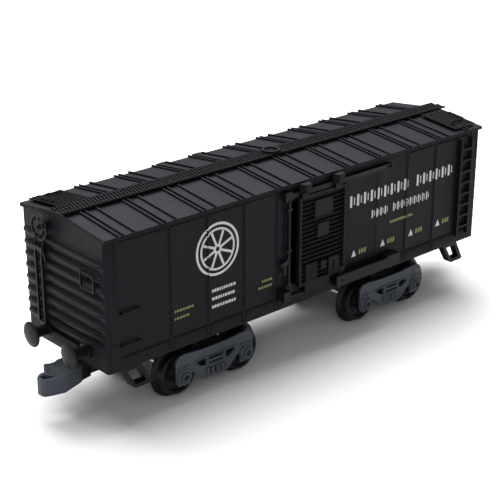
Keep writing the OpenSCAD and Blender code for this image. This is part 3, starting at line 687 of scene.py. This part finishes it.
def plain_runs(seams):
    """Stretches of wall between the seams, without the one that the doorway is in."""
    runs = [(-WALL_END, seams[0][0])]
    for (_, a), (b, _) in zip(seams, seams[1:]):
        runs.append((a, b))
    runs.append((seams[-1][1], WALL_END))
    margin = 0.9
    return [(a + margin, b - margin) for a, b in runs if not a < 0 < b]


# ---------- rivets ----------

def rivet_row(solid, start, end, pitch=RIVET_PITCH, height=RIVET_H):
    """Rivets of the near side at an even pitch from start to end."""
    start, end = Vector(start), Vector(end)
    count = max(1, round((end - start).length / pitch))
    for i in range(count + 1):
        solid.rivet(start.lerp(end, i / count), (0, -1, 0), height)


def body_rivets():
    """Rivet rows of the sides, the same on both after half a turn.

    Rivets that the door passes are low, and behind its track the band has none."""
    wall_y, seam_y, band_y = wall_planes()
    seams = seam_strips()
    door_low, door_high = box("door_near")
    _, track_high = box("track_near")
    low_on_seam = SHARE_BEHIND_DOOR * (seam_y - door_high.y)
    low_on_wall = SHARE_BEHIND_DOOR * (wall_y - door_high.y)
    for side, turn in SIDES.items():
        rivets = Solid()
        for a, b in seams:
            x = (a + b) / 2
            passed = door_low.x - 1 < x < track_high.x
            start, end = (x, seam_y, BAND_TOP + RIVET_PITCH), (x, seam_y, TOP_ROW_Z - 1)
            rivet_row(rivets, start, end, height=low_on_seam if passed else RIVET_H)
            for band_x in (x - 1, x + 1):
                start, end = ((band_x, band_y, z) for z in BAND_ROWS_Z)
                rivet_row(rivets, start, end, BAND_ROW_PITCH)
        for a, b in plain_runs(seams):
            passed = door_low.x < a < track_high.x
            start, end = ((x, wall_y, TOP_ROW_Z) for x in (a, b))
            rivet_row(rivets, start, end, height=low_on_wall if passed else RIVET_H)
            if not passed:
                start, end = ((x, band_y, BAND_TOP - 0.8) for x in (a, b))
                rivet_row(rivets, start, end)
        start, end = ((POST_RIVET_X, band_y, z) for z in (BAND_ROWS_Z[0], TOP_ROW_Z))
        rivet_row(rivets, start, end, height=POST_RIVET_H)
        rivets.piece(f"rivets_{side}", BODY, "wagon", "body_plastic", turn)


# ---------- prints ----------

def sliced(outline, cuts):
    """Parts of a convex outline of (x, z) points cut at each x in cuts, each with its cut."""
    parts = []
    limits = [-1e6, *cuts, 1e6]
    for low, high in zip(limits, limits[1:]):
        part = clip(clip(outline, low, 1), high, -1)
        if len(part) > 2:
            parts.append((part, low))
    return parts


def clip(outline, level, keep):
    """The part of a convex outline whose x is above level, or below it if keep is -1."""
    kept = []
    for (x0, z0), (x1, z1) in zip(outline, outline[1:] + outline[:1]):
        in0 = keep * (x0 - level) >= 0
        in1 = keep * (x1 - level) >= 0
        if in0:
            kept.append((x0, z0))
        if in0 != in1:
            t = (level - x0) / (x1 - x0)
            kept.append((level, z0 + t * (z1 - z0)))
    return kept


class Ink(Solid):
    """Printed shapes on the near side that follow the seam strips."""

    def __init__(self):
        super().__init__()
        self.wall_y, self.seam_y, _ = wall_planes()
        self.seams = seam_strips()
        self.cuts = [x for strip in self.seams for x in strip]

    def shape(self, outline):
        """A convex outline of (x, z) points in ink, cut where the wall changes level."""
        for part, cut in sliced(outline, self.cuts):
            raised = any(abs(cut - a) < 0.01 for a, _ in self.seams)
            plane = self.seam_y if raised else self.wall_y
            self.prism(part, lambda p, y: (p[0], y, p[1]), plane - INK_T, plane + 0.05)

    def bar(self, x0, z0, x1, z1, lean=0):
        self.shape([(x0, z0), (x1, z0), (x1 + lean, z1), (x0 + lean, z1)])

    def ring(self, centre, outer, inner, steps=72):
        for k in range(steps):
            a, b = (2 * math.pi * i / steps for i in (k, k + 1))
            self.shape(
                [
                    (centre[0] + r * math.cos(t), centre[1] + r * math.sin(t))
                    for r, t in ((inner, a), (outer, a), (outer, b), (inner, b))
                ]
            )

    def spoke(self, centre, angle, inner, outer, width):
        along = Vector((math.cos(angle), math.sin(angle)))
        across = Vector((-along.y, along.x)) * width / 2
        middle = Vector(centre)
        corners = (
            middle + along * inner - across, middle + along * outer - across,
            middle + along * outer + across, middle + along * inner + across,
        )
        self.shape([tuple(c) for c in corners])

    def dashes(self, x0, x1, z0, z1, draw, longest):
        """One row of short dashes in place of a line of small print."""
        x = x0
        while x < x1 - 0.5:
            length = min(draw.uniform(0.7, longest), x1 - x)
            self.bar(x, z0, x + length, z1)
            x += length + draw.uniform(0.35, 0.6)

    def pickets(self, x0, x1, z0, z1, cell, skip):
        """A row of upright strokes, tall and short in turn, in place of a line of large print."""
        count = round((x1 - x0) / cell)
        cell = (x1 - x0) / count
        inset = (z1 - z0) * 0.18
        for i in range(count):
            if i in skip:
                continue
            x = x0 + i * cell
            self.bar(x, z0, x + cell * 0.3, z1)
            self.bar(x + cell * 0.55, z0 + inset, x + cell * 0.68, z1 - inset)


def wheel_badge(white):
    """A plain wheel in a double ring, in place of the printed badge."""
    line = 1.15
    white.ring(BADGE_AT, BADGE_R, BADGE_R - line)
    white.ring(BADGE_AT, BADGE_R - 2.5, BADGE_R - 3.5)
    white.ring(BADGE_AT, 2.3, 1.1, 36)
    for k in range(8):
        white.spoke(BADGE_AT, math.pi * k / 4 + math.pi / 8, 2.2, BADGE_R - 3.3, line)


def prints():
    """White and yellow markings of one side, the same on both after half a turn."""
    for side, turn in SIDES.items():
        draw = random.Random(7)
        white, yellow = Ink(), Ink()
        wheel_badge(white)
        for z in SMALL_LINES_Z:
            white.dashes(*SMALL_LINES_X, z - 0.7, z + 0.7, draw, 1.5)
        for x0, x1, z in YELLOW_LINES:
            yellow.dashes(x0, x1, z - 0.55, z + 0.55, draw, 1.3)
        white.pickets(*LARGE_LINE, 4.8, skip=(9,))
        white.pickets(*MIDDLE_LINE, 3.2, skip=(4,))
        yellow.dashes(*YELLOW_LINE, draw, 1.5)
        low, high = TRIANGLE_Z
        for x in TRIANGLES_X:
            white.shape([(x - TRIANGLE_REACH, low), (x + TRIANGLE_REACH, low), (x, high)])
            for k in range(3):
                left = x + 2 * TRIANGLE_REACH + 1.9 * k
                yellow.bar(left, low + 0.4, left + 1.2, high - 0.7, lean=0.3)
        white.piece(f"white_print_{side}", WHITE, "wagon", "white_print", turn)
        yellow.piece(f"yellow_print_{side}", YELLOW, "wagon", "yellow_print", turn)


# ---------- round parts ----------

def wheel(node, axle):
    """A flanged wheel; its back faces the middle of the axle."""
    low, high = box(node)
    side = -1 if low.y < 0 else 1
    back = high.y if side < 0 else low.y
    flange = (high.x - low.x) / 2
    centre = ((low.x + high.x) / 2, back, (low.z + high.z) / 2)
    hub_back = 0.4
    width = high.y - low.y - hub_back - 0.5
    bore = 1.5
    hub_r = 3.2
    recess = 1.8
    tread = flange - 2.2
    dish = tread - 1.9
    profile = [(bore, 0), (hub_r, 0), (hub_r, recess)]
    profile += [(dish - 0.4, recess), (dish, recess - 0.4), (dish, hub_back)]
    profile += arc(flange - 0.55, hub_back + 0.55, 0.55, -90, 0, 4)
    profile += arc(flange - 0.7, hub_back + 0.8, 0.7, 0, 75, 4)
    profile += [(tread + 0.7, hub_back + 1.75), (tread + 0.15, hub_back + 2.2)]
    profile += [(tread, hub_back + 2.8), (tread - 0.25, hub_back + width - 0.5)]
    profile += arc(tread - 0.7, hub_back + width - 0.45, 0.45, 0, 90, 4)
    profile += arc(dish + 0.3, hub_back + width - 0.3, 0.3, 90, 180, 3)
    web = hub_back + width - 1.5
    profile += [(dish - 0.1, web + 0.25), (dish - 0.4, web), (hub_r + 0.9, web)]
    profile += [(hub_r + 0.4, web + 0.35), (hub_r + 0.1, hub_back + width - 0.1)]
    profile += [(hub_r - 0.2, hub_back + width + 0.5), (bore, hub_back + width + 0.5)]
    shape = Solid()
    shape.lathe(profile, centre, (0, side, 0), 128)
    shape.piece(f"{node}_turned", WHEEL, axle, "wheel_plastic", NO_TURN, (node,))


def buffer(node):
    """Mushroom buffer with its collar, drawn outwards from the end wall."""
    low, high = box(node)
    out = -1 if low.x < 0 else 1
    wall = high.x if out < 0 else low.x
    length = high.x - low.x
    radius = (high.y - low.y) / 2
    centre = (wall, (low.y + high.y) / 2, (low.z + high.z) / 2)
    rim = 0.9
    dome = 20
    collar_r, collar_t, collar_round = 3.6, 1.5, 0.3
    neck_r, flare = 2.5, 1.6
    drop = dome - math.sqrt(dome * dome - (radius - rim) ** 2)
    face = []
    for k in range(8):
        r = (radius - rim) * (1 - k / 7)
        face.append((max(r, AXIS_R), length - dome + math.sqrt(dome * dome - r * r)))
    profile = [(AXIS_R, -1), (collar_r, -1), (collar_r, collar_t - collar_round)]
    profile += arc(collar_r - collar_round, collar_t - collar_round, collar_round, 0, 90, 3)
    profile += [(neck_r, collar_t), (neck_r, length - 4.6)]
    profile += arc(neck_r + flare, length - 4.2, flare, 180, 105, 5)
    profile += [(radius - 0.6, length - drop - 1.5)]
    profile += arc(radius - 0.55, length - drop - 0.75, 0.55, -60, 60, 6)
    profile += face
    shape = Solid()
    shape.lathe(profile, centre, (out, 0, 0), 96)
    shape.piece(f"{node}_turned", TRIM, "wagon", "trim_plastic", NO_TURN, (node,))


def brake_wheel():
    """Hand brake wheel: thin round rim, eight spokes and a dished middle."""
    low, high = box("brake_wheel")
    rim_r = 0.55
    spoke_r = 0.4
    outer = (high.y - low.y) / 2
    centre = (low + high) / 2
    shape = Solid()
    rim = []
    for k in range(72):
        a = 2 * math.pi * k / 72
        rim.append(centre + (outer - rim_r) * Vector((0, math.cos(a), math.sin(a))))
    shape.tube(rim, rim_r, 14, closed=True)
    disc = 3.1
    for k in range(8):
        a = math.radians(45 * k)
        reach = Vector((0, math.cos(a), math.sin(a)))
        ends = [centre + reach * (disc - 0.3), centre + reach * (outer - rim_r)]
        shape.tube(ends, spoke_r, 10)
    bore = 0.86
    hub = [(bore, -0.8), *arc(1.25, -0.6, 0.2, -90, 0, 3), (1.6, -0.35), (disc - 0.2, -0.35)]
    hub += [*arc(disc - 0.2, 0, 0.35, -60, 60, 4), (disc - 0.7, 0.35), (disc - 1.0, 0.15)]
    hub += [(1.6, 0.1), (1.4, 0.2), *arc(1.2, 0.6, 0.2, 0, 90, 3), (bore, 0.8)]
    shape.lathe(hub, centre, (-1, 0, 0), 48)
    shape.piece("brake_wheel_turned", TRIM, "handbrake", "trim_plastic", NO_TURN, ("brake_wheel",))


# ---------- scene ----------

def floor():
    """The pale paper that the wagon stands on."""
    mesh = bpy.data.meshes.new("floor")
    reach = FLOOR_REACH
    corners = [(-reach, -reach, 0), (reach, -reach, 0), (reach, reach, 0), (-reach, reach, 0)]
    mesh.from_pydata(corners, [], [(0, 1, 2, 3)])
    ground = bpy.data.objects.new("floor", mesh)
    bpy.context.scene.collection.objects.link(ground)
    material, nodes, links, surface = shader("floor_paper")
    grain = spread(nodes, links, noise(nodes, links, 8), 0, 1)
    links.new(blend_colours(nodes, links, grain, *FLOOR_TONES), surface.inputs["Base Color"])
    surface.inputs["Roughness"].default_value = 0.8
    surface.inputs["Specular IOR Level"].default_value = 0.1
    mesh.materials.append(material)


def softbox(name, place, size, power):
    """A rectangular light at a place, turned to the wagon."""
    light = bpy.data.lights.new(name, "AREA")
    light.shape = "RECTANGLE"
    light.size, light.size_y = size
    light.energy = power
    lamp = bpy.data.objects.new(name, light)
    lamp.location = place
    aim = Vector(LIT_PLACE) - Vector(place)
    lamp.rotation_mode = "QUATERNION"
    lamp.rotation_quaternion = aim.to_track_quat("-Z", "Y")
    bpy.context.scene.collection.objects.link(lamp)


def studio():
    """A plain white sky, and the lights."""
    world = bpy.data.worlds.new("studio")
    bpy.context.scene.world = world
    world.use_nodes = True
    sky = world.node_tree.nodes["Background"]
    sky.inputs["Color"].default_value = (1, 1, 1, 1)
    sky.inputs["Strength"].default_value = SKY_STRENGTH
    for name, settings in LIGHTS.items():
        softbox(name, *settings)
    bpy.context.scene.view_settings.view_transform = "Standard"


def camera():
    """The camera of the main view."""
    data = bpy.data.cameras.new("camera")
    data.lens = CAMERA_LENS
    data.sensor_width = 36
    data.clip_start = 0.01
    data.clip_end = 50
    eye = bpy.data.objects.new("camera", data)
    azimuth, elevation = math.radians(CAMERA_AZIMUTH), math.radians(CAMERA_ELEVATION)
    level = Vector((-math.sin(azimuth), math.cos(azimuth), 0)) * math.cos(elevation)
    forward = level - Vector((0, 0, math.sin(elevation)))
    eye.location = CAMERA_AT
    eye.rotation_mode = "QUATERNION"
    eye.rotation_quaternion = forward.to_track_quat("-Z", "Y")
    bpy.context.scene.collection.objects.link(eye)
    bpy.context.scene.camera = eye


camera()
studio()
floor()
finish_cad_pieces()
running_board()
for side, turn in SIDES.items():
    walkway(f"walkway_{side}", turn)
roof_ring()
body_rivets()
prints()
for end in ENDS:
    for side in SIDES:
        buffer(f"buffer_{end}_{side}")
        for place in ("outer", "inner"):
            wheel(f"wheel_{end}_{place}_{side}", f"{end}_{place}_wheelset")
brake_wheel()
